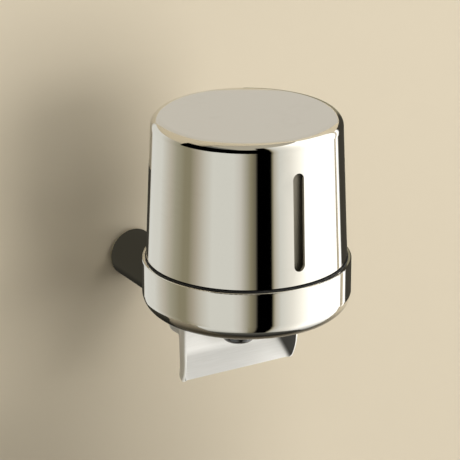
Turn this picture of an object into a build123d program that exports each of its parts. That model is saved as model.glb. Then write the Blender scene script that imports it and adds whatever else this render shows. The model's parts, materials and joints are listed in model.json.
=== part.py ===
from build123d import *
from math import cos, radians, sin
import os

os.makedirs("parts", exist_ok=True)

# Wall mounted soap dispenser, in millimetres. The origin is on the wall, at the centre of the
# arm. The wall is the plane Y = 0, the room lies towards -Y, and +Z is up.

# ---- Driving dimensions ----

reach = 115.0  # wall to the upright axis of the cup and cap
arm_radius = 12.8
arm_bore = 9.8
tube_length = 78.0
nose_end = 93.2  # front end of the arm, measured from the wall

cup_radius = 50.0
cup_bottom = 11.0
cup_rim = 36.6
cup_corner = 8.9
wall = 2.2

cap_bottom = 37.4
cap_top = 107.0
cap_radius = 48.0
cap_taper = 2.8  # how much smaller the cap's radius is at the top
cap_corner = 5.1
cap_wall = 1.6
slot_low = 44.2
slot_high = 91.6
slot_width = 5.8

tank_radius = 42.5
tank_bottom = 16.5
tank_top = 98.0
tank_wall = 1.8

pump_back = 7.4  # the pump stands this far behind the cup's axis
bore_radius = 8.0
neck_radius = 10.5
neck_bottom = 7.0
stem_radius = 4.0
piston_bottom = 24.5
piston_height = 5.0

drum_radius = 32.4  # outside of the push lever, round the cup's axis
drum_inside = 31.1
lever_bottom = -25.7
lever_top = 6.0
flange_radius = 37.4
scoop_back = 17.0  # face of the scoop, behind the cup's axis
scoop_corner = 3.0
pivot_y = -89.0
pivot_z = 0.0
fit = 0.05  # radial clearance of a running fit

# ---- Working planes and places ----

axis_y = -reach
pump_y = axis_y + pump_back
tank_floor = tank_bottom + tank_wall
cup_plane = Plane.XZ.offset(reach)  # upright, through the cup's axis
pump_plane = Plane.XZ.offset(reach - pump_back)
cup_axis = Axis((0, axis_y, 0), (0, 0, 1))
pump_axis = Axis((0, pump_y, 0), (0, 0, 1))
screw_spots = [(-5.5, -83.5), (5.5, -83.5)]


# ---- The arm and what fixes it to the wall ----

screw_pitch = 10.0
wall_screw_radius = 2.2
wall_screw_head = 3.8
plate_depth = 8.0
grub_y = -4.0  # the set screw under the arm, near the wall
grub_radius = 2.0
grub_length = 3.9

with BuildPart() as wall_plate:
    with BuildSketch(Plane.XZ):
        Circle(arm_bore - fit)
    extrude(amount=plate_depth)
    chamfer(wall_plate.edges().group_by(Axis.Y)[0], length=0.8)
    with Locations(Plane.XZ.offset(plate_depth)):
        with Locations((0, screw_pitch / 2), (0, -screw_pitch / 2)):
            CounterSinkHole(radius=wall_screw_radius, counter_sink_radius=wall_screw_head)
    with BuildSketch(Plane.XY.offset(-arm_bore - 1)):
        with Locations((0, grub_y)):
            Circle(grub_radius + fit)
    extrude(amount=2.4, mode=Mode.SUBTRACT)
wall_plate.part.label = "wall_plate"
export_step(wall_plate.part, "parts/wall_plate.step")

# The outside of the cup as one solid. It shapes the cup, and the saddle on top of the arm.
with BuildPart() as cup_form:
    with BuildSketch(Plane.XY.offset(cup_bottom)):
        with Locations((0, axis_y)):
            Circle(cup_radius)
    extrude(amount=cup_rim - cup_bottom)
    fillet(cup_form.edges().group_by(Axis.Z)[0], radius=cup_corner)

with BuildPart() as arm_tube:
    with BuildSketch(Plane.XZ):
        Circle(arm_radius)
        Circle(arm_bore, mode=Mode.SUBTRACT)
    extrude(amount=tube_length)
    chamfer(arm_tube.edges().group_by(Axis.Y)[-1].sort_by(SortBy.RADIUS)[-1], length=0.4)
    add(cup_form.part, mode=Mode.SUBTRACT)
    with BuildSketch(Plane.XY.offset(-arm_radius - 1)):
        with Locations((0, grub_y)):
            Circle(grub_radius + fit)
    extrude(amount=arm_radius, mode=Mode.SUBTRACT)
arm_tube.part.label = "arm_tube"
export_step(arm_tube.part, "parts/arm_tube.step")

grub_plane = Plane.XY.offset(-arm_radius + 0.3)
hex_depth = 1.6

with BuildPart() as arm_set_screw:
    with BuildSketch(grub_plane):
        with Locations((0, grub_y)):
            Circle(grub_radius)
    extrude(amount=grub_length)
    chamfer(arm_set_screw.edges().group_by(Axis.Z)[-1], length=0.5)
    with BuildSketch(grub_plane):
        with Locations((0, grub_y)):
            RegularPolygon(radius=1.1, side_count=6)
    extrude(amount=hex_depth, mode=Mode.SUBTRACT)
arm_set_screw.part.label = "arm_set_screw"
export_step(arm_set_screw.part, "parts/arm_set_screw.step")

# Solid front end of the arm: a spigot inside the tube and a nose that carries the pivot.
spigot_length = 18.0
nose_round = 4.0
bush_radius = 2.8
tip_radius = 1.8
bush_inner_end = 7.9
bush_outer_end = 13.3
base_screw_radius = 2.0
base_screw_depth = 12.5
base_screw_head = 3.5
head_height = 2.4

with BuildPart() as arm_head:
    with BuildSketch(Plane.XZ.offset(tube_length)):
        Circle(arm_radius)
    extrude(amount=nose_end - tube_length)
    fillet(arm_head.edges().group_by(Axis.Y)[0], radius=nose_round)
    with BuildSketch(Plane.XZ.offset(tube_length)):
        Circle(arm_bore - fit)
    extrude(amount=-spigot_length)
    add(cup_form.part, mode=Mode.SUBTRACT)
    with BuildSketch(Plane.XY.offset(cup_bottom)):
        with Locations(*screw_spots):
            Circle(base_screw_radius + fit)
    extrude(amount=-base_screw_depth - 0.5, mode=Mode.SUBTRACT)
    for side in (-1, 1):
        with BuildSketch(Plane.YZ.offset(side * arm_radius)):
            with Locations((pivot_y, pivot_z)):
                Circle(bush_radius)
        extrude(amount=-side * (arm_radius - bush_inner_end + 0.3), mode=Mode.SUBTRACT)
arm_head.part.label = "arm_head"
export_step(arm_head.part, "parts/arm_head.step")

with BuildPart() as pivot_bushes:
    for side in (-1, 1):
        with BuildSketch(Plane.YZ.offset(side * bush_inner_end)):
            with Locations((pivot_y, pivot_z)):
                Circle(bush_radius)
                Circle(tip_radius + fit, mode=Mode.SUBTRACT)
        extrude(amount=side * (bush_outer_end - bush_inner_end))
pivot_bushes.part.label = "pivot_bushes"
export_step(pivot_bushes.part, "parts/pivot_bushes.step")

# ---- The cup and the black ring that carries the cap ----

with BuildPart() as base_cup:
    add(cup_form.part)
    offset(amount=-wall, openings=base_cup.faces().sort_by(Axis.Z)[-1])
    fillet(base_cup.edges().group_by(Axis.Z)[-1].sort_by(SortBy.RADIUS)[-1], radius=0.6)
    with BuildSketch(Plane.XY.offset(cup_bottom)):
        with Locations((0, pump_y)):
            Circle(neck_radius + 0.2)
        with Locations(*screw_spots):
            Circle(base_screw_radius + 0.2)
    extrude(amount=wall, mode=Mode.SUBTRACT)
base_cup.part.label = "base_cup"
export_step(base_cup.part, "parts/base_cup.step")

cup_floor = cup_bottom + wall

with BuildPart() as base_screws:
    with BuildSketch(Plane.XY.offset(cup_floor)):
        with Locations(*screw_spots):
            Circle(base_screw_head)
    extrude(amount=head_height)
    fillet(base_screws.edges().group_by(Axis.Z)[-1], radius=0.8)
    with BuildSketch(Plane.XY.offset(cup_floor)):
        with Locations(*screw_spots):
            Circle(base_screw_radius)
    extrude(amount=-base_screw_depth)
    with BuildSketch(Plane.XY.offset(cup_floor + head_height)):
        with Locations(*screw_spots):
            RegularPolygon(radius=1.5, side_count=6)
    extrude(amount=-hex_depth, mode=Mode.SUBTRACT)
base_screws.part.label = "base_screws"
export_step(base_screws.part, "parts/base_screws.step")

collar_bottom = 28.0
collar_top = 43.0
collar_inside = 43.6
collar_outside = 45.8
cap_seal_height = 0.5

with BuildPart() as collar_ring:
    with BuildSketch(cup_plane):
        with BuildLine():
            Polyline(
                (collar_inside, collar_bottom),
                (cup_radius - wall - 0.1, collar_bottom),
                (cup_radius - wall - 0.1, cup_rim),
                (collar_outside, cup_rim),
                (collar_outside - 0.3, collar_top),
                (collar_inside, collar_top),
                close=True,
            )
        make_face()
    revolve(axis=cup_axis)
collar_ring.part.label = "collar_ring"
export_step(collar_ring.part, "parts/collar_ring.step")

with BuildPart() as cap_seal:
    with BuildSketch(Plane.XY.offset(cup_rim)):
        with Locations((0, axis_y)):
            Circle(cap_radius + 0.4)
            Circle(collar_outside, mode=Mode.SUBTRACT)
    extrude(amount=cap_seal_height)
cap_seal.part.label = "cap_seal"
export_step(cap_seal.part, "parts/cap_seal.step")

# ---- The tank that holds the soap ----

boss_radius = 15.0
foot_radius = 40.0
foot_width = 2.0

with BuildPart() as reservoir:
    with BuildSketch(Plane.XY.offset(tank_bottom)):
        with Locations((0, axis_y)):
            Circle(tank_radius)
    extrude(amount=tank_top - tank_bottom)
    fillet(reservoir.edges().group_by(Axis.Z)[0], radius=2.4)
    offset(amount=-tank_wall, openings=reservoir.faces().sort_by(Axis.Z)[-1])
    with BuildSketch(Plane.XY.offset(cup_floor)):
        with Locations((0, axis_y)):
            Circle(foot_radius)
            Circle(foot_radius - foot_width, mode=Mode.SUBTRACT)
        with Locations((0, pump_y)):
            Circle(boss_radius)
    extrude(amount=tank_floor - cup_floor - 0.2)
    with BuildSketch(Plane.XY.offset(cup_floor)):
        with Locations((0, pump_y)):
            Circle(neck_radius + 0.1)
    extrude(amount=tank_floor - cup_bottom, mode=Mode.SUBTRACT)
reservoir.part.label = "reservoir"
export_step(reservoir.part, "parts/reservoir.step")

# ---- The fixed half of the pump ----

gasket_height = 1.0
flange_bottom = tank_floor + gasket_height
barrel_radius = 11.2
barrel_top = 29.8
barrel_cap_lap = 5.0
barrel_cap_top = 2.2  # thickness of the barrel cap's end
gland_radius = 6.2
gland_bottom = 9.0
bore_bottom = 11.5
packing_height = 1.6
washer_height = 0.8

with BuildPart() as pump_gasket:
    with BuildSketch(Plane.XY.offset(tank_floor)):
        with Locations((0, pump_y)):
            Circle(boss_radius - 1)
            Circle(neck_radius + 0.1, mode=Mode.SUBTRACT)
    extrude(amount=gasket_height)
pump_gasket.part.label = "pump_gasket"
export_step(pump_gasket.part, "parts/pump_gasket.step")

with BuildPart() as pump_cylinder:
    with BuildSketch(pump_plane):
        with BuildLine():
            Polyline(
                (stem_radius + fit, neck_bottom),
                (neck_radius - 0.5, neck_bottom),
                (neck_radius, neck_bottom + 0.5),
                (neck_radius, flange_bottom),
                (boss_radius - 0.8, flange_bottom),
                (boss_radius - 0.8, flange_bottom + 2),
                (barrel_radius, flange_bottom + 2),
                (barrel_radius, barrel_top),
                (bore_radius, barrel_top),
                (bore_radius, bore_bottom),
                (gland_radius, bore_bottom),
                (gland_radius, gland_bottom),
                (stem_radius + fit, gland_bottom),
                close=True,
            )
        make_face()
    revolve(axis=pump_axis)
pump_cylinder.part.label = "pump_cylinder"
export_step(pump_cylinder.part, "parts/pump_cylinder.step")

with BuildPart() as stem_seal:
    with BuildSketch(Plane.XY.offset(gland_bottom)):
        with Locations((0, pump_y)):
            Circle(gland_radius - fit)
            Circle(stem_radius + fit, mode=Mode.SUBTRACT)
    extrude(amount=packing_height)
    fillet(stem_seal.edges(), radius=0.5)
stem_seal.part.label = "stem_seal"
export_step(stem_seal.part, "parts/stem_seal.step")

with BuildPart() as gland_washer:
    with BuildSketch(Plane.XY.offset(gland_bottom + packing_height + fit)):
        with Locations((0, pump_y)):
            Circle(gland_radius - fit)
            Circle(stem_radius + 0.2, mode=Mode.SUBTRACT)
    extrude(amount=washer_height)
gland_washer.part.label = "gland_washer"
export_step(gland_washer.part, "parts/gland_washer.step")

# Screwed over the top of the barrel. Soap enters through its ring of holes.
with BuildPart() as cylinder_cap:
    with BuildSketch(Plane.XY.offset(barrel_top - barrel_cap_lap)):
        with Locations((0, pump_y)):
            Circle(barrel_radius + 1.6)
    extrude(amount=barrel_cap_lap + barrel_cap_top)
    chamfer(cylinder_cap.edges().group_by(Axis.Z)[-1], length=0.8)
    with BuildSketch(Plane.XY.offset(barrel_top - barrel_cap_lap)):
        with Locations((0, pump_y)):
            Circle(barrel_radius)
    extrude(amount=barrel_cap_lap, mode=Mode.SUBTRACT)
    with BuildSketch(Plane.XY.offset(barrel_top)):
        with Locations((0, pump_y)):
            with PolarLocations(radius=4.8, count=6):
                Circle(1.5)
    extrude(amount=barrel_cap_top, mode=Mode.SUBTRACT)
cylinder_cap.part.label = "cylinder_cap"
export_step(cylinder_cap.part, "parts/cylinder_cap.step")

nut_radius = 13.0
nut_height = 3.0

with BuildPart() as nut_washer:
    with BuildSketch(Plane.XY.offset(cup_bottom)):
        with Locations((0, pump_y)):
            Circle(nut_radius)
            Circle(neck_radius + 0.1, mode=Mode.SUBTRACT)
    extrude(amount=-washer_height)
nut_washer.part.label = "nut_washer"
export_step(nut_washer.part, "parts/nut_washer.step")

with BuildPart() as pump_nut:
    with BuildSketch(Plane.XY.offset(neck_bottom + 0.2)):
        with Locations((0, pump_y)):
            Circle(nut_radius)
            Circle(neck_radius, mode=Mode.SUBTRACT)
            with PolarLocations(radius=nut_radius, count=6):
                Rectangle(2.4, 2.6, mode=Mode.SUBTRACT)
    extrude(amount=nut_height)
pump_nut.part.label = "pump_nut"
export_step(pump_nut.part, "parts/pump_nut.step")

# Return spring between the gland washer and the piston. It shortens as the piston comes down.
wire_radius = 0.5
coil_radius = 6.3
coil_turns = 4.5
spring_low = bore_bottom + wire_radius + 0.1
spring_rise = piston_bottom - wire_radius - 0.1 - spring_low

with BuildPart() as pump_spring:
    with BuildLine(Plane.XY.offset(spring_low)) as spring_line:
        Helix(pitch=spring_rise / coil_turns, height=spring_rise, radius=coil_radius, center=(0, pump_y, 0))
    with BuildSketch(Plane(origin=spring_line.line @ 0, z_dir=spring_line.line % 0)):
        Circle(wire_radius)
    sweep()
pump_spring.part.label = "pump_spring"
export_step(pump_spring.part, "parts/pump_spring.step")

# ---- The moving half of the pump, down to the nozzle ----

stem_bottom = -6.0
stem_bore = 2.0
stem_lap = 3.0  # how far the stem reaches into the piston
ring_low = 1.5  # the piston ring's groove, above the piston's lower face
ring_high = 3.5
ring_depth = 1.7
groove_half = 1.5
collar_half = 2.7
collar_radius = 6.5
nozzle_radius = 8.1
nozzle_top = -3.2
nozzle_tip = -9.8
nozzle_round = 2.6
nozzle_chamfer = 1.6
valve_radius = 2.9
valve_depth = 2.1
outlet_radius = 1.5

with BuildPart() as pump_stem:
    with BuildSketch(Plane.XY.offset(stem_bottom)):
        with Locations((0, pump_y)):
            Circle(stem_radius)
    extrude(amount=piston_bottom + stem_lap - stem_bottom)
    with BuildSketch(Plane.XY.offset(stem_bottom)):
        with Locations((0, pump_y)):
            Circle(stem_bore)
    extrude(amount=piston_bottom - 0.6 - stem_bottom, mode=Mode.SUBTRACT)
    with BuildSketch(Plane.YZ):
        with Locations((pump_y, piston_bottom - 1.8)):
            Circle(1.0)
    extrude(amount=stem_radius, both=True, mode=Mode.SUBTRACT)
pump_stem.part.label = "pump_stem"
export_step(pump_stem.part, "parts/pump_stem.step")

piston_radius = bore_radius - 0.15

with BuildPart() as piston:
    with BuildSketch(pump_plane):
        with BuildLine():
            Polyline(
                (stem_radius, piston_bottom),
                (piston_radius, piston_bottom),
                (piston_radius, piston_bottom + ring_low),
                (bore_radius - ring_depth, piston_bottom + ring_low),
                (bore_radius - ring_depth, piston_bottom + ring_high),
                (piston_radius, piston_bottom + ring_high),
                (piston_radius, piston_bottom + piston_height),
                (0, piston_bottom + piston_height),
                (0, piston_bottom + stem_lap),
                (stem_radius, piston_bottom + stem_lap),
                close=True,
            )
        make_face()
    revolve(axis=pump_axis)
piston.part.label = "piston"
export_step(piston.part, "parts/piston.step")

with BuildPart() as piston_seal:
    with BuildSketch(Plane.XY.offset(piston_bottom + ring_low + fit)):
        with Locations((0, pump_y)):
            Circle(bore_radius - fit)
            Circle(bore_radius - ring_depth + fit, mode=Mode.SUBTRACT)
    extrude(amount=ring_high - ring_low - 2 * fit)
    fillet(piston_seal.edges().filter_by(GeomType.CIRCLE).sort_by(SortBy.RADIUS)[-2:], radius=0.6)
piston_seal.part.label = "piston_seal"
export_step(piston_seal.part, "parts/piston_seal.step")

# Grooved collar that the lever's fork pulls down.
groove_radius = collar_radius - 1.6

with BuildPart() as stem_collar:
    with BuildSketch(pump_plane):
        with BuildLine():
            Polyline(
                (stem_radius, -collar_half),
                (collar_radius, -collar_half),
                (collar_radius, -groove_half),
                (groove_radius, -groove_half),
                (groove_radius, groove_half),
                (collar_radius, groove_half),
                (collar_radius, collar_half),
                (stem_radius, collar_half),
                close=True,
            )
        make_face()
    revolve(axis=pump_axis)
stem_collar.part.label = "stem_collar"
export_step(stem_collar.part, "parts/stem_collar.step")

with BuildPart() as nozzle:
    with BuildSketch(pump_plane):
        with BuildLine():
            Polyline(
                (nozzle_radius, nozzle_tip + nozzle_round),
                (nozzle_radius, nozzle_top - nozzle_chamfer),
                (nozzle_radius - nozzle_chamfer, nozzle_top),
                (stem_radius, nozzle_top),
                (stem_radius, stem_bottom),
                (valve_radius + 0.1, stem_bottom),
                (valve_radius + 0.1, stem_bottom - valve_depth - 0.1),
                (outlet_radius, stem_bottom - valve_depth - 0.1),
                (outlet_radius, nozzle_tip + 0.4),
                (outlet_radius + 0.4, nozzle_tip),
                (nozzle_radius - nozzle_round, nozzle_tip),
            )
            RadiusArc(
                (nozzle_radius - nozzle_round, nozzle_tip),
                (nozzle_radius, nozzle_tip + nozzle_round),
                -nozzle_round,
            )
        make_face()
    revolve(axis=pump_axis)
nozzle.part.label = "nozzle"
export_step(nozzle.part, "parts/nozzle.step")

with BuildPart() as outlet_valve:
    with BuildSketch(Plane.XY.offset(stem_bottom)):
        with Locations((0, pump_y)):
            Circle(valve_radius)
    extrude(amount=-valve_depth)
    with BuildSketch(Plane.XY.offset(stem_bottom)):
        with Locations((0, pump_y)):
            Circle(outlet_radius - 0.1)
    extrude(amount=-valve_depth + 0.6, mode=Mode.SUBTRACT)
    with BuildSketch(Plane.XY.offset(stem_bottom)):
        with Locations((0, pump_y)):
            Rectangle(2.2, 0.3)
    extrude(amount=-valve_depth, mode=Mode.SUBTRACT)
outlet_valve.part.label = "outlet_valve"
export_step(outlet_valve.part, "parts/outlet_valve.step")

# ---- The push lever ----

cheek_front = 4.0  # front edge of the cheeks, behind the cup's axis
lip_back = 7.8  # lower lip, behind the cup's axis
cheek_arc_top = -12.5
cheek_arc_radius = 26.0
ramp_top = -15.5
ramp_round = 8.0
edge_round = 0.8  # on the outer front edges of the cheeks
channel_half = 13.8
channel_front = -95.7
channel_centre = -1.4
fork_inside = 7.4
fork_outside = 10.4
fork_half = 2.6
fork_pin_radius = 1.2
pivot_screw_radius = 2.5

# The hand-side hollow: everything in front of the scoop's face, inside the drum wall.
with BuildPart() as scoop_form:
    with BuildSketch(Plane.YZ):
        with BuildLine():
            Polyline(
                (axis_y + lip_back + 0.8, lever_bottom),
                (axis_y + scoop_back, ramp_top),
                (axis_y + scoop_back, lever_top),
            )
            Polyline(
                (axis_y + scoop_back, lever_top),
                (axis_y - drum_radius, lever_top),
                (axis_y - drum_radius, lever_bottom),
                (axis_y + lip_back + 0.8, lever_bottom),
            )
        make_face()
    extrude(amount=drum_radius, both=True)
    fillet(scoop_form.edges().filter_by(Axis.X).sort_by(Axis.Z)[2], radius=ramp_round)
    with BuildSketch(Plane.XY.offset(lever_bottom)):
        with Locations((0, axis_y)):
            Circle(drum_inside)
    extrude(amount=lever_top - lever_bottom, mode=Mode.INTERSECT)
    corners = scoop_form.edges().filter_by_position(Axis.Z, lever_bottom + 0.5, lever_top - 0.5)
    fillet(corners.filter_by(lambda edge: abs(edge.center().X) > 15), radius=scoop_corner)

# The pocket from behind that lets the lever hang round the arm.
with BuildPart() as channel_form:
    with BuildSketch(Plane.XZ.offset(-channel_front)):
        with Locations((0, channel_centre)):
            Circle(channel_half)
        with Locations((0, channel_centre + channel_half)):
            Rectangle(2 * channel_half, 2 * channel_half)
    extrude(amount=-30)  # well past the back of the drum

# The shoulder round the back of the drum, which stiffens the pivot. It ends short of the cheeks.
shoulder_start = 24.5  # degrees round from the X axis
shoulder_root = drum_inside + 0.4
shoulder_edge = 3.0  # lower edge of the shoulder's rim
shoulder_low = -5.4
shoulder_x = (cos(radians(shoulder_start)), sin(radians(shoulder_start)), 0)
shoulder_z = (sin(radians(shoulder_start)), -cos(radians(shoulder_start)), 0)
shoulder_plane = Plane(origin=(0, axis_y, 0), x_dir=shoulder_x, z_dir=shoulder_z)

with BuildPart() as lever:
    with BuildSketch(cup_plane):
        with BuildLine():
            Polyline(
                (0, lever_top),
                (drum_radius, lever_top),
                (drum_radius, -10.0),
                (drum_radius - 0.3, lever_bottom + 4.6),
                (drum_radius + 0.1, lever_bottom + 0.7),
                (drum_radius - 0.5, lever_bottom),
                (0, lever_bottom),
                close=True,
            )
        make_face()
    revolve(axis=cup_axis, revolution_arc=180)
    with BuildSketch(shoulder_plane):
        with BuildLine():
            Polyline(
                (drum_radius, shoulder_low),
                (shoulder_root, shoulder_low),
                (shoulder_root, lever_top),
                (flange_radius, lever_top),
                (flange_radius, shoulder_edge),
            )
            ThreePointArc(
                (flange_radius, shoulder_edge),
                (flange_radius - 1.2, -0.4),
                (flange_radius - 3.5, -2.1),
            )
            ThreePointArc(
                (flange_radius - 3.5, -2.1),
                (drum_radius + 0.45, -3.2),
                (drum_radius, shoulder_low),
            )
        make_face()
    revolve(axis=cup_axis, revolution_arc=180 - 2 * shoulder_start)
    with BuildSketch(Plane.YZ):
        with BuildLine():
            Polyline(
                (axis_y + lip_back, lever_bottom),
                (axis_y - 1, lever_bottom),
                (axis_y - 1, lever_top),
                (axis_y + cheek_front, lever_top),
                (axis_y + cheek_front, cheek_arc_top),
            )
            RadiusArc(
                (axis_y + cheek_front, cheek_arc_top),
                (axis_y + lip_back, lever_bottom),
                -cheek_arc_radius,
            )
        make_face()
    extrude(amount=flange_radius + 1, both=True, mode=Mode.SUBTRACT)
    add(scoop_form.part, mode=Mode.SUBTRACT)
    for side in (-1, 1):
        with BuildSketch(Plane.YZ.offset(side * fork_inside)):
            with BuildLine():
                Polyline(
                    (pump_y, fork_half),
                    (axis_y + scoop_back + 1, fork_half),
                    (axis_y + scoop_back + 1, -fork_half),
                    (pump_y, -fork_half),
                )
                ThreePointArc((pump_y, -fork_half), (pump_y - fork_half, 0), (pump_y, fork_half))
            make_face()
        extrude(amount=side * (fork_outside - fork_inside))
    add(channel_form.part, mode=Mode.SUBTRACT)
    with BuildSketch(Plane.YZ):
        with Locations((pivot_y, pivot_z)):
            Circle(pivot_screw_radius)
    extrude(amount=flange_radius, both=True, mode=Mode.SUBTRACT)
    with BuildSketch(Plane.YZ):
        with Locations((pump_y, 0)):
            Circle(fork_pin_radius)
    extrude(amount=fork_outside, both=True, mode=Mode.SUBTRACT)
    front_edges = lever.edges().filter_by_position(Axis.Y, axis_y, axis_y + lip_back + 0.5)
    low_edges = front_edges.filter_by_position(Axis.Z, lever_bottom, lever_top - 0.5)
    fillet(low_edges.filter_by(lambda edge: abs(edge.center().X) > drum_inside + 0.4), radius=edge_round)
lever.part.label = "lever"
export_step(lever.part, "parts/lever.step")

# Two screws from the outside, whose plain tips are the lever's pivot.
screw_inner_end = 14.0
screw_outer_end = 18.4
tip_end = bush_inner_end + 0.3

with BuildPart() as pivot_screws:
    for side in (-1, 1):
        with BuildSketch(Plane.YZ.offset(side * screw_inner_end)):
            with Locations((pivot_y, pivot_z)):
                Circle(pivot_screw_radius)
        extrude(amount=side * (screw_outer_end - screw_inner_end))
        with BuildSketch(Plane.YZ.offset(side * tip_end)):
            with Locations((pivot_y, pivot_z)):
                Circle(tip_radius)
        extrude(amount=side * (screw_inner_end - tip_end))
        with BuildSketch(Plane.YZ.offset(side * screw_outer_end)):
            with Locations((pivot_y, pivot_z)):
                RegularPolygon(radius=1.45, side_count=6)
        extrude(amount=-side * hex_depth, mode=Mode.SUBTRACT)
pivot_screws.part.label = "pivot_screws"
export_step(pivot_screws.part, "parts/pivot_screws.step")

pin_inner_end = groove_radius + 0.5

with BuildPart() as fork_pins:
    for side in (-1, 1):
        with BuildSketch(Plane.YZ.offset(side * pin_inner_end)):
            with Locations((pump_y, 0)):
                Circle(fork_pin_radius)
        extrude(amount=side * (fork_outside - pin_inner_end))
fork_pins.part.label = "fork_pins"
export_step(fork_pins.part, "parts/fork_pins.step")

# ---- The cap and the lid inside it ----

with BuildPart() as cap:
    with BuildSketch(cup_plane):
        with BuildLine():
            Polyline(
                (0, cap_bottom),
                (cap_radius, cap_bottom),
                (cap_radius - cap_taper, cap_top),
                (0, cap_top),
                close=True,
            )
        make_face()
    revolve(axis=cup_axis)
    fillet(cap.edges().group_by(Axis.Z)[-1], radius=cap_corner)
    offset(amount=-cap_wall, openings=cap.faces().sort_by(Axis.Z)[0])
    chamfer(cap.edges().group_by(Axis.Z)[0].sort_by(SortBy.RADIUS)[-1], length=0.3)
    with BuildSketch(cup_plane):
        with Locations((0, (slot_low + slot_high) / 2)):
            SlotOverall(slot_high - slot_low, slot_width, rotation=90)
    extrude(amount=cap_radius + 1, mode=Mode.SUBTRACT)
cap.part.label = "cap"
export_step(cap.part, "parts/cap.step")

lid_gasket_height = 0.6
lid_bottom = tank_top + lid_gasket_height + 0.3
lid_thickness = 2.0
stud_radius = 7.0

with BuildPart() as inner_lid:
    with BuildSketch(Plane.XY.offset(lid_bottom)):
        with Locations((0, axis_y)):
            Circle(tank_radius)
    extrude(amount=lid_thickness)
    fillet(inner_lid.edges().group_by(Axis.Z)[-1], radius=0.8)
    with BuildSketch(Plane.XY.offset(lid_bottom + lid_thickness)):
        with Locations((0, axis_y)):
            Circle(stud_radius)
    extrude(amount=cap_top - cap_wall - lid_bottom - lid_thickness)
inner_lid.part.label = "inner_lid"
export_step(inner_lid.part, "parts/inner_lid.step")

with BuildPart() as lid_gasket:
    with BuildSketch(Plane.XY.offset(lid_bottom)):
        with Locations((0, axis_y)):
            Circle(tank_radius)
            Circle(tank_radius - tank_wall, mode=Mode.SUBTRACT)
    extrude(amount=-lid_gasket_height)
lid_gasket.part.label = "lid_gasket"
export_step(lid_gasket.part, "parts/lid_gasket.step")
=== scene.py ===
import bpy
import json
from math import radians, sin, cos, pi
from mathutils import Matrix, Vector


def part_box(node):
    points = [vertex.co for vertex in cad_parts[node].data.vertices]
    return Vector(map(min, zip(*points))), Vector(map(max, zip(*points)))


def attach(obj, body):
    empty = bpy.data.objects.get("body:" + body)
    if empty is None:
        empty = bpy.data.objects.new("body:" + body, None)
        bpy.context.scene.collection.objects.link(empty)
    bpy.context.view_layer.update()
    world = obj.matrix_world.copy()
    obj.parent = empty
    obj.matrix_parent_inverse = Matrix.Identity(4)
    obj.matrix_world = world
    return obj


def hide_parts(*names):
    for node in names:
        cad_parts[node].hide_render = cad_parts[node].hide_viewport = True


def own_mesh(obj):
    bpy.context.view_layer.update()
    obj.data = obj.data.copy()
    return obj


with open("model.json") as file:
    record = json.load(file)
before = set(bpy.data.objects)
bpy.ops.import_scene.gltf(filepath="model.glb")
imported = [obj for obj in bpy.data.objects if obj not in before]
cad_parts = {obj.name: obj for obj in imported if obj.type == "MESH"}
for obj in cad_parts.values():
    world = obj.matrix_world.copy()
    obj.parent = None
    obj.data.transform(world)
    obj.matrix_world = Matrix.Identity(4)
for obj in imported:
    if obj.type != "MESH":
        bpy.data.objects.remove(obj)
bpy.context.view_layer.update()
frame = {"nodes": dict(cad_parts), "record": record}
print("frame loaded")

mm = 0.001

# Places that come from the frame
cupLow, cupHigh = [Vector(corner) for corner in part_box("base_cup")]
nutLow, nutHigh = [Vector(corner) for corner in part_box("pump_nut")]
axisY = (cupLow.y + cupHigh.y) / 2
pumpY = (nutLow.y + nutHigh.y) / 2


# Camera, aimed at the middle of the cup's upper edge with a small offset
view = {
    "azimuth": -30.65,  # degrees from the front, to the left
    "elevation": 20.72,
    "distance": 1.2704,
    "lens": 208.6,
    "aimRight": -0.0079,
    "aimUp": 0.0118,
    "sensor": 36,
    "farthest": 20,
}


def addCamera():
    data = bpy.data.cameras.new("mainCamera")
    data.lens = view["lens"]
    data.sensor_width = view["sensor"]
    data.clip_end = view["farthest"]
    camera = bpy.data.objects.new("mainCamera", data)
    bpy.context.collection.objects.link(camera)
    az = radians(view["azimuth"])
    el = radians(view["elevation"])
    back = Vector((sin(az) * cos(el), -cos(az) * cos(el), sin(el)))
    right = Vector((cos(az), sin(az), 0))
    up = back.cross(right)
    target = Vector((0, axisY, cupHigh.z)) + right * view["aimRight"] + up * view["aimUp"]
    camera.location = target + back * view["distance"]
    camera.rotation_euler = (radians(90) - el, 0, az)
    bpy.context.scene.camera = camera


addCamera()


# Helpers for shader groups and materials
def newGroup(name, inputs, outputs):
    group = bpy.data.node_groups.new(name, "ShaderNodeTree")
    for label, value in inputs.items():
        socket = group.interface.new_socket(label, in_out="INPUT", socket_type="NodeSocketFloat")
        socket.default_value = value
    for label in outputs:
        group.interface.new_socket(label, in_out="OUTPUT", socket_type="NodeSocketFloat")
    return group, group.nodes.new("NodeGroupInput"), group.nodes.new("NodeGroupOutput")


def mathNode(tree, operation, first, second=0.0, third=None):
    node = tree.nodes.new("ShaderNodeMath")
    node.operation = operation
    for index, value in enumerate((first, second, third)):
        if value is None:
            continue
        if isinstance(value, (int, float)):
            node.inputs[index].default_value = value
        else:
            tree.links.new(value, node.inputs[index])
    return node.outputs[0]


def noiseNode(tree, vector, scale, detail=2.0, roughness=0.5):
    node = tree.nodes.new("ShaderNodeTexNoise")
    node.inputs["Detail"].default_value = detail
    node.inputs["Roughness"].default_value = roughness
    tree.links.new(vector, node.inputs["Vector"])
    if isinstance(scale, (int, float)):
        node.inputs["Scale"].default_value = scale
    else:
        tree.links.new(scale, node.inputs["Scale"])
    return node.outputs["Fac"]


def stretched(tree, vector, scale, turn=(0, 0, 0)):
    node = tree.nodes.new("ShaderNodeMapping")
    node.inputs["Rotation"].default_value = [radians(angle) for angle in turn]
    node.inputs["Scale"].default_value = scale
    tree.links.new(vector, node.inputs["Vector"])
    return node.outputs["Vector"]


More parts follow.
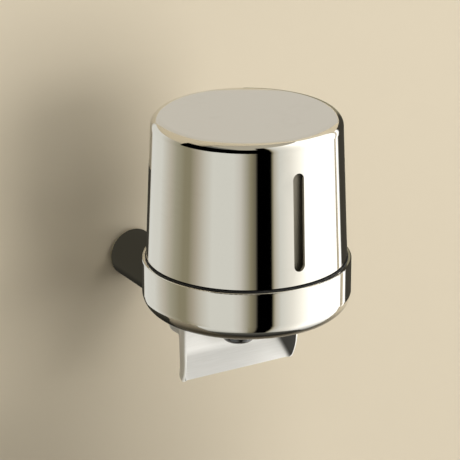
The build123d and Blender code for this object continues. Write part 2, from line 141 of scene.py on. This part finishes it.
def ramped(tree, value, low, high, outLow=0.0, outHigh=1.0):
    node = tree.nodes.new("ShaderNodeMapRange")
    node.interpolation_type = "SMOOTHSTEP"
    for label, number in (("From Min", low), ("From Max", high), ("To Min", outLow), ("To Max", outHigh)):
        node.inputs[label].default_value = number
    tree.links.new(value, node.inputs["Value"])
    return node.outputs["Result"]


# Handling marks on polished metal: soft smears, hairline scratches and tiny pits
handlingShape = {
    "smearScale": 38,
    "smearDetail": 3,
    "smearRough": 0.55,
    "smearRange": (0.48, 0.7),
    "breakStretch": (1, 1, 3),
    "breakTurn": (20, 0, 35),
    "breakScale": 160,
    "breakRange": (0.35, 0.65),
    "hairTurns": ((0, 15, 8), (0, 80, 30), (10, -35, 60)),
    "hairStretch": (1.2, 60, 60),
    "hairScale": 34,
    "hairRough": 0.6,
    "hairRange": (0.7, 0.78),
    "pitScale": 2600,
    "pitRange": (0.72, 0.8),
    "pitDepth": -0.4,
}


def buildHandling(shape):
    group, start, end = newGroup("handlingMarks", {"Smears": 0.5, "Hairlines": 0.5}, ("Mask", "Height"))
    place = group.nodes.new("ShaderNodeTexCoord").outputs["Object"]
    smears = noiseNode(group, place, shape["smearScale"], shape["smearDetail"], shape["smearRough"])
    smears = ramped(group, smears, *shape["smearRange"])
    turned = stretched(group, place, shape["breakStretch"], shape["breakTurn"])
    breakUp = ramped(group, noiseNode(group, turned, shape["breakScale"]), *shape["breakRange"])
    smears = mathNode(group, "MULTIPLY", smears, breakUp)
    hairs = 0.0
    for turn in shape["hairTurns"]:
        turned = stretched(group, place, shape["hairStretch"], turn)
        fine = noiseNode(group, turned, shape["hairScale"], roughness=shape["hairRough"])
        hairs = mathNode(group, "MAXIMUM", hairs, ramped(group, fine, *shape["hairRange"]))
    pits = ramped(group, noiseNode(group, place, shape["pitScale"], detail=1), *shape["pitRange"])
    smears = mathNode(group, "MULTIPLY", smears, start.outputs["Smears"])
    hairs = mathNode(group, "MULTIPLY", hairs, start.outputs["Hairlines"])
    mask = mathNode(group, "ADD", smears, hairs)
    pits = mathNode(group, "MULTIPLY", pits, shape["pitDepth"])
    dips = mathNode(group, "MULTIPLY_ADD", hairs, -1.0, pits)
    group.links.new(mathNode(group, "MINIMUM", mask, 1.0), end.inputs["Mask"])
    group.links.new(dips, end.inputs["Height"])
    return group


# Long fine lines that run along X, as a linishing belt leaves them
brushingShape = {
    "broadStretch": (0.05, 1, 1),
    "broadScale": 900,
    "broadShare": 0.4,
    "fineStretch": (0.03, 1, 1),
    "fineScale": 3600,
    "fineDetail": 3,
    "fineShare": 0.6,
    "range": (0.35, 0.65),
}


def buildBrushing(shape):
    group, start, end = newGroup("brushedLines", {"Density": 1.0}, ("Mask", "Height"))
    place = group.nodes.new("ShaderNodeTexCoord").outputs["Object"]
    density = start.outputs["Density"]
    broadScale = mathNode(group, "MULTIPLY", density, shape["broadScale"])
    fineScale = mathNode(group, "MULTIPLY", density, shape["fineScale"])
    broad = noiseNode(group, stretched(group, place, shape["broadStretch"]), broadScale)
    fine = noiseNode(group, stretched(group, place, shape["fineStretch"]), fineScale, shape["fineDetail"])
    broad = mathNode(group, "MULTIPLY", broad, shape["broadShare"])
    both = mathNode(group, "MULTIPLY_ADD", fine, shape["fineShare"], broad)
    group.links.new(ramped(group, both, *shape["range"]), end.inputs["Mask"])
    group.links.new(both, end.inputs["Height"])
    return group


# Turning marks of a lathe round an upright axis: rings that follow the radius and the height
turningShape = {"scale": 5200, "detail": 3, "rough": 0.7, "range": (0.35, 0.65)}


def buildTurning(shape):
    group, start, end = newGroup("turnedRings", {"Centre Y": 0.0, "Pitch": 1.0}, ("Mask", "Height"))
    place = group.nodes.new("ShaderNodeTexCoord").outputs["Object"]
    split = group.nodes.new("ShaderNodeSeparateXYZ")
    group.links.new(place, split.inputs[0])
    across = mathNode(group, "MULTIPLY", split.outputs["X"], split.outputs["X"])
    offset = mathNode(group, "SUBTRACT", split.outputs["Y"], start.outputs["Centre Y"])
    radius = mathNode(group, "SQRT", mathNode(group, "MULTIPLY_ADD", offset, offset, across))
    rings = group.nodes.new("ShaderNodeCombineXYZ")
    group.links.new(radius, rings.inputs["X"])
    group.links.new(split.outputs["Z"], rings.inputs["Y"])
    scale = mathNode(group, "MULTIPLY", start.outputs["Pitch"], shape["scale"])
    lines = noiseNode(group, rings.outputs[0], scale, shape["detail"], shape["rough"])
    group.links.new(ramped(group, lines, *shape["range"]), end.inputs["Mask"])
    group.links.new(lines, end.inputs["Height"])
    return group


# Moulded grain: fine pebbling, flow streaks and a little dust
mouldingShape = {
    "cellScale": 2400,
    "streakStretch": (1, 1, 0.15),
    "streakScale": 240,
    "streakDetail": 3,
    "streakRange": (0.4, 0.65),
    "streakHeight": 0.3,
    "dustScale": 95,
    "dustDetail": 5,
    "dustRough": 0.7,
    "dustRange": (0.5, 0.75),
}


def buildMoulding(shape):
    group, start, end = newGroup("mouldedGrain", {"Grain": 1.0}, ("Mask", "Dust", "Height"))
    place = group.nodes.new("ShaderNodeTexCoord").outputs["Object"]
    cells = group.nodes.new("ShaderNodeTexVoronoi")
    cells.feature = "SMOOTH_F1"
    group.links.new(place, cells.inputs["Vector"])
    cellScale = mathNode(group, "MULTIPLY", start.outputs["Grain"], shape["cellScale"])
    group.links.new(cellScale, cells.inputs["Scale"])
    flowing = stretched(group, place, shape["streakStretch"])
    streaks = noiseNode(group, flowing, shape["streakScale"], shape["streakDetail"])
    streaks = ramped(group, streaks, *shape["streakRange"])
    dust = noiseNode(group, place, shape["dustScale"], shape["dustDetail"], shape["dustRough"])
    group.links.new(streaks, end.inputs["Mask"])
    group.links.new(ramped(group, dust, *shape["dustRange"]), end.inputs["Dust"])
    height = mathNode(group, "MULTIPLY_ADD", streaks, shape["streakHeight"], cells.outputs["Distance"])
    group.links.new(height, end.inputs["Height"])
    return group


shared = {
    "handling": buildHandling(handlingShape),
    "brushing": buildBrushing(brushingShape),
    "turning": buildTurning(turningShape),
    "moulding": buildMoulding(mouldingShape),
}
print("shader groups built")


def newMaterial(name, metallic, coat=0.0, specular=0.5):
    material = bpy.data.materials.new(name)
    material.use_nodes = True
    tree = material.node_tree
    shader = tree.nodes["Principled BSDF"]
    shader.inputs["Metallic"].default_value = metallic
    shader.inputs["Coat Weight"].default_value = coat
    shader.inputs["Specular IOR Level"].default_value = specular
    return material, tree, shader


def useGroup(tree, name, values):
    node = tree.nodes.new("ShaderNodeGroup")
    node.node_tree = shared[name]
    for label, value in values.items():
        node.inputs[label].default_value = value
    return node.outputs


# The first colour, which may be another node's output, turned into the second where the factor is 1
def mixColour(tree, factor, first, second):
    node = tree.nodes.new("ShaderNodeMix")
    node.data_type = "RGBA"
    colourA, colourB, result = node.inputs[6], node.inputs[7], node.outputs[2]
    tree.links.new(factor, node.inputs["Factor"])
    if isinstance(first, tuple):
        colourA.default_value = (*first, 1)
    else:
        tree.links.new(first, colourA)
    colourB.default_value = (*second, 1)
    return result


# The direction that the surface faces, split into X, Y and Z
def facing(tree):
    split = tree.nodes.new("ShaderNodeSeparateXYZ")
    tree.links.new(tree.nodes.new("ShaderNodeNewGeometry").outputs["Normal"], split.inputs[0])
    return split.outputs


def addBump(tree, shader, height, depth):
    node = tree.nodes.new("ShaderNodeBump")
    node.inputs["Strength"].default_value = 1.0
    node.inputs["Distance"].default_value = depth
    tree.links.new(height, node.inputs["Height"])
    tree.links.new(node.outputs["Normal"], shader.inputs["Normal"])


def polishedNickel(name, look):
    material, tree, shader = newMaterial(name, 1.0)
    marks = useGroup(tree, "handling", {"Smears": look["smears"], "Hairlines": look["hairlines"]})
    # Surfaces that face down get painted shade in their colour, and a little more roughness
    below = ramped(tree, facing(tree)["Z"], look["belowEnd"], look["belowStart"], 1.0, 0.0)
    colour = mixColour(tree, marks["Mask"], look["colour"], look["worn"])
    tree.links.new(mixColour(tree, below, colour, look["belowShadeColour"]), shader.inputs["Base Color"])
    rough = ramped(tree, marks["Mask"], 0.0, 1.0, look["roughness"], look["roughness"] + look["dulling"])
    rough = mathNode(tree, "MULTIPLY_ADD", below, look["belowDull"], rough)
    tree.links.new(rough, shader.inputs["Roughness"])
    addBump(tree, shader, marks["Height"], look["depth"])
    return material


def satinNickel(name, look):
    material, tree, shader = newMaterial(name, look["metal"])
    lines = useGroup(tree, "brushing", {"Density": look["density"]})
    marks = useGroup(tree, "handling", {"Smears": look["smears"], "Hairlines": look["hairlines"]})
    place = tree.nodes.new("ShaderNodeSeparateXYZ")
    tree.links.new(tree.nodes.new("ShaderNodeTexCoord").outputs["Object"], place.inputs[0])
    # Mask for painted shade: the inner sides of both cheeks are given a dark colour
    outward = mathNode(tree, "MULTIPLY", mathNode(tree, "SIGN", place.outputs["X"]), facing(tree)["X"])
    inner = ramped(tree, outward, look["inwardFull"], look["inwardNone"], 1.0, 0.0)
    fromMiddle = mathNode(tree, "ABSOLUTE", place.outputs["X"])
    outer = ramped(tree, fromMiddle, look["cheekStart"], look["cheekEnd"])
    cheekShade = mathNode(tree, "MULTIPLY", inner, outer)
    colour = mixColour(tree, lines["Mask"], look["colour"], look["groove"])
    tree.links.new(mixColour(tree, cheekShade, colour, look["cheekShadeColour"]), shader.inputs["Base Color"])
    rough = mathNode(tree, "MULTIPLY_ADD", lines["Mask"], look["spread"], look["roughness"])
    rough = mathNode(tree, "MULTIPLY_ADD", marks["Mask"], look["dulling"], rough)
    tree.links.new(rough, shader.inputs["Roughness"])
    addBump(tree, shader, lines["Height"], look["depth"])
    return material


def turnedSteel(name, look):
    material, tree, shader = newMaterial(name, 1.0)
    rings = useGroup(tree, "turning", {"Centre Y": look["centreY"], "Pitch": look["pitch"]})
    colour = mixColour(tree, rings["Mask"], look["colour"], look["groove"])
    tree.links.new(colour, shader.inputs["Base Color"])
    rough = ramped(tree, rings["Mask"], 0.0, 1.0, look["roughness"], look["roughness"] + look["spread"])
    tree.links.new(rough, shader.inputs["Roughness"])
    addBump(tree, shader, rings["Height"], look["depth"])
    return material


def mouldedPlastic(name, look):
    material, tree, shader = newMaterial(name, 0.0, coat=look["coat"])
    grain = useGroup(tree, "moulding", {"Grain": look["grain"]})
    colour = mixColour(tree, grain["Dust"], look["colour"], look["dusty"])
    tree.links.new(colour, shader.inputs["Base Color"])
    rough = ramped(tree, grain["Mask"], 0.0, 1.0, look["roughness"], look["roughness"] + look["spread"])
    tree.links.new(rough, shader.inputs["Roughness"])
    addBump(tree, shader, grain["Height"], look["depth"])
    return material


nickelLook = {
    "colour": (0.74, 0.715, 0.645),
    "worn": (0.69, 0.66, 0.59),
    "roughness": 0.045,
    "dulling": 0.09,
    "smears": 0.3,
    "hairlines": 0.25,
    "depth": 0.002 * mm,
    "belowStart": -0.16,  # how far a surface faces down where the painted shade and the dulling start
    "belowEnd": -0.6,
    "belowShadeColour": (0.07, 0.065, 0.053),
    "belowDull": 0.12,
}
satinLook = {
    "metal": 0.05,
    "colour": (0.93, 0.92, 0.885),
    "groove": (0.88, 0.87, 0.83),
    "roughness": 0.36,
    "spread": 0.06,
    "smears": 0.2,
    "hairlines": 0.3,
    "dulling": 0.1,
    "density": 1.0,
    "depth": 0.002 * mm,
    "cheekShadeColour": (0.05, 0.047, 0.04),  # painted shade on the inner sides of the cheeks
    "cheekStart": 18 * mm,  # from the middle, along X
    "cheekEnd": 24 * mm,
    "inwardFull": -0.92,  # how far a surface faces the middle where it is a cheek's inner side
    "inwardNone": -0.25,
}
nozzleLook = {
    "colour": (0.010, 0.0095, 0.009),
    "dusty": (0.016, 0.015, 0.014),
    "roughness": 0.1,
    "spread": 0.08,
    "coat": 1.0,
    "grain": 0.5,
    "depth": 0.001 * mm,
}
steelLook = {
    "colour": (0.62, 0.62, 0.60),
    "groove": (0.48, 0.48, 0.46),
    "roughness": 0.2,
    "spread": 0.12,
    "centreY": pumpY,
    "pitch": 1.0,
    "depth": 0.01 * mm,
}
acetalLook = {
    "colour": (0.78, 0.78, 0.74),
    "dusty": (0.70, 0.69, 0.64),
    "roughness": 0.36,
    "spread": 0.14,
    "coat": 0.0,
    "grain": 1.0,
    "depth": 0.01 * mm,
}
blackLook = {
    "colour": (0.012, 0.012, 0.012),
    "dusty": (0.028, 0.026, 0.023),
    "roughness": 0.42,
    "spread": 0.16,
    "coat": 0.0,
    "grain": 1.0,
    "depth": 0.02 * mm,
}
rubberLook = {
    "colour": (0.010, 0.010, 0.010),
    "dusty": (0.03, 0.028, 0.025),
    "roughness": 0.62,
    "spread": 0.2,
    "coat": 0.0,
    "grain": 0.6,
    "depth": 0.03 * mm,
}
tankLook = {
    "colour": (0.16, 0.145, 0.11),
    "dusty": (0.19, 0.17, 0.13),
    "roughness": 0.4,
    "spread": 0.15,
    "coat": 0.0,
    "grain": 0.8,
    "depth": 0.012 * mm,
}

finishes = {
    "polished_nickel": polishedNickel("polishedNickel", nickelLook),
    "stainless": turnedSteel("turnedSteel", steelLook),
    "white_acetal": mouldedPlastic("whiteAcetal", acetalLook),
    "black_plastic": mouldedPlastic("blackPlastic", blackLook),
    "black_rubber": mouldedPlastic("blackRubber", rubberLook),
    "smoked_plastic": mouldedPlastic("smokedPlastic", tankLook),
    "satin_nickel": satinNickel("satinNickel", satinLook),
    "gloss_black": mouldedPlastic("glossBlack", nozzleLook),
}

slotOf = {entry["node"]: entry["material_slot"] for entry in frame["record"]["subparts"]}
for node, part in frame["nodes"].items():
    part.data.materials.clear()
    part.data.materials.append(finishes[slotOf[node]])
print("materials assigned")


# The return spring round the pump's stem, built at one fixed length
springLow, springHigh = [Vector(corner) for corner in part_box("pump_spring")]
pumpSpring = {
    "wire": 0.5 * mm,  # radius
    "coil": 6.3 * mm,
    "turns": 4.5,
    "wireSides": 14,
    "turnSteps": 40,
    "stroke": 3.9 * mm,
}


def buildPumpSpring(look):
    wire = look["wire"]
    height = springHigh.z - springLow.z
    bpy.ops.object.select_all(action="DESELECT")
    bpy.ops.mesh.primitive_circle_add(
        vertices=look["wireSides"], radius=wire, location=(look["coil"], 0, 0), rotation=(radians(90), 0, 0)
    )
    spring = bpy.context.object
    spring.name = "pumpReturnSpring"
    bpy.ops.object.transform_apply(location=True, rotation=True, scale=True)
    coil = spring.modifiers.new("coil", "SCREW")
    coil.angle = 2 * pi * look["turns"]
    coil.screw_offset = height - 2 * wire
    coil.steps = round(look["turnSteps"] * look["turns"])
    coil.render_steps = coil.steps
    bpy.ops.object.modifier_apply(modifier=coil.name)
    bpy.ops.object.mode_set(mode="EDIT")
    bpy.ops.mesh.select_all(action="SELECT")
    bpy.ops.mesh.fill_holes(sides=0)
    bpy.ops.mesh.normals_make_consistent(inside=False)
    bpy.ops.object.mode_set(mode="OBJECT")
    spring.location = (0, pumpY, springLow.z + wire)
    bpy.ops.object.transform_apply(location=True, rotation=False, scale=False)
    bpy.ops.object.shade_smooth()
    spring.data.materials.append(finishes["stainless"])
    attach(spring, "root")
    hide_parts("pump_spring")
    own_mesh(spring)


buildPumpSpring(pumpSpring)
print("pump spring built")


# The room: a wall, a floor, reflectors that only the metal sees, and soft lights
upright = (radians(90), 0, 0)
level = (0, 0, 0)
glowStrength = 1.7
room = {
    "wallColour": (0.62, 0.55, 0.43),
    "wallGap": 0.5 * mm,  # the wall lies just behind the arm's end
    "floorColour": (0.70, 0.68, 0.64),
    "floorZ": -1.3,
    "specular": 0.2,
    "roughness": 0.9,
    "size": 6.0,
    "skyColour": (0.9, 0.9, 0.82),
    "skyStrength": 0.2,
}


# Paint that can be seen through from behind, for the wall
def plainMatt(name, colour, seeThroughBack):
    material, tree, shader = newMaterial(name, 0.0, specular=room["specular"])
    shader.inputs["Base Color"].default_value = (*colour, 1)
    shader.inputs["Roughness"].default_value = room["roughness"]
    if seeThroughBack:
        back = tree.nodes.new("ShaderNodeNewGeometry").outputs["Backfacing"]
        clear = tree.nodes.new("ShaderNodeBsdfTransparent")
        mix = tree.nodes.new("ShaderNodeMixShader")
        tree.links.new(back, mix.inputs[0])
        tree.links.new(shader.outputs[0], mix.inputs[1])
        tree.links.new(clear.outputs[0], mix.inputs[2])
        tree.links.new(mix.outputs[0], tree.nodes["Material Output"].inputs["Surface"])
    return material


def addRoom():
    bpy.ops.object.select_all(action="DESELECT")
    bpy.ops.mesh.primitive_plane_add(size=room["size"], location=(0, room["wallGap"], 0), rotation=upright)
    wall = bpy.context.object
    wall.name = "backWall"
    wall.data.materials.append(plainMatt("wallPaint", room["wallColour"], True))
    middle = (0, -room["size"] / 2, room["floorZ"])
    bpy.ops.mesh.primitive_plane_add(size=room["size"], location=middle, rotation=level)
    floor = bpy.context.object
    floor.name = "paleFloor"
    floor.data.materials.append(plainMatt("paleFloor", room["floorColour"], False))
    floor.visible_glossy = False
    world = bpy.data.worlds.new("softSky")
    world.use_nodes = True
    sky = world.node_tree.nodes["Background"]
    sky.inputs["Color"].default_value = (*room["skyColour"], 1)
    sky.inputs["Strength"].default_value = room["skyStrength"]
    bpy.context.scene.world = world


def hideFromCamera(card):
    card.visible_camera = False
    card.visible_shadow = False
    card.visible_diffuse = False


def glowing(name, colour):
    material = bpy.data.materials.new(name)
    material.use_nodes = True
    tree = material.node_tree
    tree.nodes.remove(tree.nodes["Principled BSDF"])
    glow = tree.nodes.new("ShaderNodeEmission")
    glow.inputs["Color"].default_value = (*colour, 1)
    glow.inputs["Strength"].default_value = glowStrength
    tree.links.new(glow.outputs[0], tree.nodes["Material Output"].inputs["Surface"])
    return material, tree, glow


# A tall reflector round the body's upright axis. Angles are in degrees from the front, towards +X,
# and each stop gives the angle at which the reflector has that colour.
def addReflector(name, look):
    steps = look["steps"]
    first = look["stops"][0][0]
    last = look["stops"][-1][0]
    corners = []
    for step in range(steps + 1):
        angle = radians(first + (last - first) * step / steps)
        side = look["radius"] * sin(angle)
        ahead = axisY - look["radius"] * cos(angle)
        corners.append((side, ahead, look["low"]))
        corners.append((side, ahead, look["high"]))
    faces = [(2 * k, 2 * k + 2, 2 * k + 3, 2 * k + 1) for k in range(steps)]
    mesh = bpy.data.meshes.new(name)
    mesh.from_pydata(corners, [], faces)
    around = mesh.uv_layers.new(name="around")
    for face in mesh.polygons:
        for corner in face.loop_indices:
            column = mesh.loops[corner].vertex_index // 2
            around.data[corner].uv = (column / steps, mesh.loops[corner].vertex_index % 2)
    reflector = bpy.data.objects.new(name, mesh)
    bpy.context.collection.objects.link(reflector)
    hideFromCamera(reflector)
    material, tree, glow = glowing(name, black)
    place = tree.nodes.new("ShaderNodeUVMap")
    place.uv_map = "around"
    split = tree.nodes.new("ShaderNodeSeparateXYZ")
    tree.links.new(place.outputs[0], split.inputs[0])
    ramp = tree.nodes.new("ShaderNodeValToRGB")
    tree.links.new(split.outputs["X"], ramp.inputs["Fac"])
    stops = ramp.color_ramp.elements
    for angle, colour in look["stops"][1:-1]:
        stops.new((angle - first) / (last - first)).color = (*colour, 1)
    stops[0].color = (*look["stops"][0][1], 1)
    stops[-1].color = (*look["stops"][-1][1], 1)
    tree.links.new(ramp.outputs["Color"], glow.inputs["Color"])
    mesh.materials.append(material)


white = (1, 1, 1)
brightGrey = (0.8, 0.79, 0.76)
lightGrey = (0.62, 0.61, 0.585)
softWhite = (0.48, 0.485, 0.47)
midGrey = (0.42, 0.41, 0.39)
warmGrey = (0.35, 0.33, 0.29)
deepGrey = (0.27, 0.26, 0.22)
olive = (0.18, 0.165, 0.115)
darkOlive = (0.1, 0.09, 0.065)
shade = (0.035, 0.032, 0.026)
black = (0, 0, 0)

reflectors = {
    "fillSide": {
        "radius": 2.0, "low": -3.4, "high": 0.3, "steps": 96,
        "stops": [
            (-94, warmGrey), (-90, softWhite), (-46, softWhite), (-38, midGrey), (-31, deepGrey),
            (-26.5, olive), (-21, darkOlive), (-20, shade), (-18.5, black), (-17, black),
        ],
    },
    "fillFlag": {
        "radius": 2.0, "low": 0.3, "high": 2.0, "steps": 24,
        "stops": [(-110, black), (-17, black)],
    },
    "rimFlag": {
        "radius": 0.107, "low": 0.108, "high": 0.165, "steps": 24,
        "stops": [(-98, black), (-60, black)],
    },
    "keySide": {
        "radius": 2.0, "low": -3.4, "high": 3.6, "steps": 96,
        "stops": [
            (-17, black), (-3.4, black), (-1.6, olive), (0.6, warmGrey), (7, softWhite),
            (20, lightGrey), (32, brightGrey), (44, white), (93, white),
        ],
    },
    "backLeft": {
        "radius": 0.108, "low": -0.03, "high": 0.13, "steps": 64,
        "stops": [
            (-158, warmGrey), (-154, softWhite), (-128, softWhite), (-112, warmGrey),
            (-103, (0.25, 0.24, 0.19)), (-92, olive), (-86, olive), (-78, (0.29, 0.265, 0.22)),
            (-70, (0.4, 0.39, 0.36)), (-62, softWhite),
        ],
    },
    "backRight": {
        "radius": 0.108, "low": -0.02, "high": 0.125, "steps": 24,
        "stops": [(76, white), (80, white), (83, shade), (110, shade), (116, olive), (150, olive)],
    },
    "overTop": {
        "radius": 0.11, "low": 0.13, "high": 0.3, "steps": 24,
        "stops": [(100, (0.42, 0.4, 0.37)), (200, (0.4, 0.38, 0.345))],
    },
}


# A flat card that is seen only in the metal, or one that only casts a shadow
def addFlatCard(name, look):
    bpy.ops.object.select_all(action="DESELECT")
    bpy.ops.mesh.primitive_plane_add(size=1, location=look["middle"], rotation=look["turn"])
    card = bpy.context.object
    card.name = name
    card.scale = (*look["size"], 1)
    hideFromCamera(card)
    card.visible_shadow = look["shades"]
    card.visible_glossy = not look["shades"]
    card.data.materials.append(glowing(name, look["colour"])[0])


flatCards = {
    "wallShade": {
        "middle": (-0.01, -0.0015, -0.035), "size": (0.3, 0.17), "turn": upright,
        "colour": (0.03, 0.028, 0.022), "shades": False,
    },
    "overhead": {
        "middle": (0, -1, 3.7), "size": (5, 5), "turn": level,
        "colour": (0.3, 0.28, 0.235), "shades": False,
    },
    "lowShade": {
        "middle": (-0.25, -0.2, -0.3225), "size": (0.7, 0.555), "turn": upright,
        "colour": black, "shades": True,
    },
}


# Side and height are the light's direction in degrees, from the front towards +X and upwards
softLights = {
    "highKey": {"side": 10, "height": 30, "size": 1.4, "power": 12},
    "lowKey": {"side": 18, "height": 1, "size": 1.5, "power": 31},
    "sideKey": {"side": 42, "height": 46, "size": 1.1, "power": 13},
}
lightDistance = 2.2
lightColour = (1, 0.985, 0.955)


def addSoftLight(name, look):
    data = bpy.data.lights.new(name, "AREA")
    data.shape = "DISK"
    data.size = look["size"]
    data.energy = look["power"]
    data.color = lightColour
    light = bpy.data.objects.new(name, data)
    bpy.context.collection.objects.link(light)
    side = radians(look["side"])
    height = radians(look["height"])
    away = Vector((sin(side) * cos(height), -cos(side) * cos(height), sin(height)))
    light.location = Vector((0, 0, cupHigh.z)) + away * lightDistance
    light.rotation_euler = away.to_track_quat("Z", "Y").to_euler()
    light.visible_glossy = False


addRoom()
for name, look in reflectors.items():
    addReflector(name, look)
for name, look in flatCards.items():
    addFlatCard(name, look)
for name, look in softLights.items():
    addSoftLight(name, look)
bpy.context.scene.view_settings.view_transform = "Standard"
print("room and lights built")
